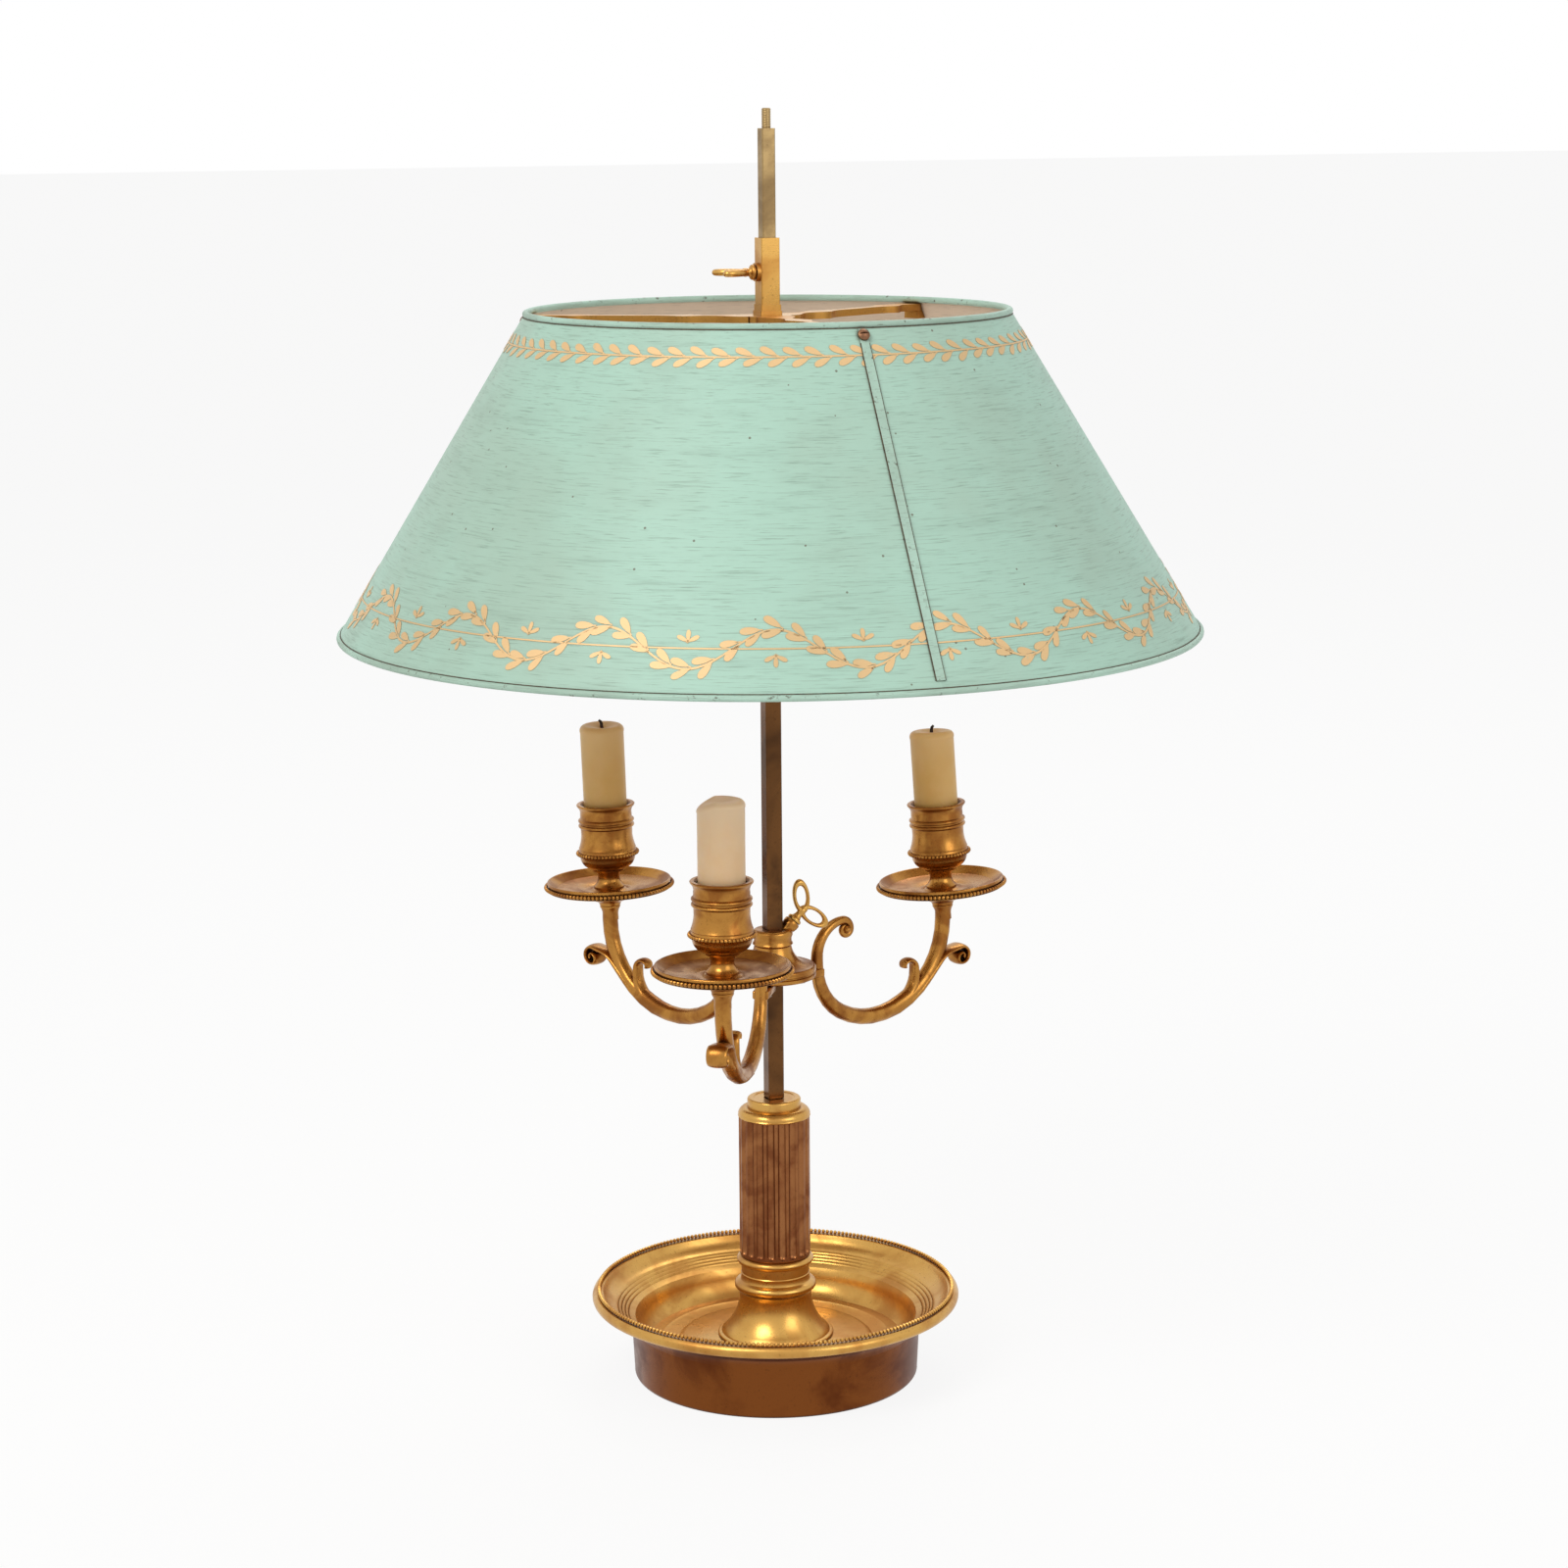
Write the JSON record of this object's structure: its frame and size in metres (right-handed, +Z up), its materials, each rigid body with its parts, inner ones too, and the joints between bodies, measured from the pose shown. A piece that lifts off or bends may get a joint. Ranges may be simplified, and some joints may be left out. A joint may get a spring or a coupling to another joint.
{
  "type": "candle lamp",
  "caption": "Bouillotte candle lamp: dished base, fluted column, square rod, sliding three-arm candle cluster and sliding conical metal shade.",
  "frame": {"origin": "centre of the base's underside, on the table", "axes": "+Z up the rod; -Y is the side of the square rod with the shade's front seam; +X carries the cluster's thumb key and -X the shade's thumb key"},
  "size_m": [0.4211, 0.4212, 0.63],
  "materials": {
    "gilt_brass": "gilt lacquer over brass with red-brown wear",
    "copper_brass": "red-brown lacquered brass",
    "dark_brass": "browned brass rod",
    "steel": "plain turned steel",
    "tole": "pale green hand-painted sheet",
    "tole_trim": "gold-painted sheet edge",
    "wax": "ivory wax",
    "wick": "burnt cotton"
  },
  "bodies": {
    "stand": {"base_dish": "gilt_brass", "base_bead_ring": "gilt_brass", "column_foot": "gilt_brass", "column_shaft": "copper_brass", "column_cap": "gilt_brass", "main_rod": "dark_brass", "base_washer": "steel", "base_nut": "steel", "upper_rod": "gilt_brass"},
    "cluster": {"cluster_hub": "gilt_brass", "arm_screws": "steel", "arm_front": "gilt_brass", "arm_right": "gilt_brass", "arm_left": "gilt_brass", "pan_front": "gilt_brass", "pan_right": "gilt_brass", "pan_left": "gilt_brass", "cup_front": "gilt_brass", "cup_right": "gilt_brass", "cup_left": "gilt_brass"},
    "cluster_thumb_key": {"cluster_key": "gilt_brass"},
    "shade": {"shade_cone": "tole", "shade_top_rim": "tole", "shade_bottom_rim": "tole", "seam_front": "tole", "seam_back": "tole", "shade_spider": "gilt_brass", "shade_sleeve": "gilt_brass", "spider_screws": "gilt_brass"},
    "shade_thumb_key": {"shade_key": "gilt_brass"},
    "candle_front_body": {"candle_front": "wax"},
    "candle_right_body": {"candle_right": "wax", "wick_right": "wick"},
    "candle_left_body": {"candle_left": "wax", "wick_left": "wick"}
  },
  "joints": [
    {"name": "cluster_slide", "type": "slide", "parent": "stand", "child": "cluster", "axis": [0, 0, 1], "range_m": [-0.05, 0.04]},
    {"name": "shade_slide", "type": "slide", "parent": "stand", "child": "shade", "axis": [0, 0, 1], "range_m": [-0.06, 0.048]},
    {"name": "cluster_key_turn", "type": "hinge", "parent": "cluster", "child": "cluster_thumb_key", "pos_m": [0.0155, 0, 0.237], "axis": [0.7071, 0, 0.7071], "range_deg": [-180, 180]},
    {"name": "shade_key_turn", "type": "hinge", "parent": "shade", "child": "shade_thumb_key", "pos_m": [-0.0065, 0, 0.55272], "axis": [-1, 0, 0], "range_deg": [-180, 180]},
    {"name": "candle_front_lift", "type": "slide", "parent": "cluster", "child": "candle_front_body", "axis": [0, 0, 1], "range_m": [0, 0.045]},
    {"name": "candle_right_lift", "type": "slide", "parent": "cluster", "child": "candle_right_body", "axis": [-0.0602, 0.0231, 0.9979], "range_m": [0, 0.045]},
    {"name": "candle_left_lift", "type": "slide", "parent": "cluster", "child": "candle_left_body", "axis": [-0.0277, 0.0106, 0.9996], "range_m": [0, 0.045]}
  ]
}
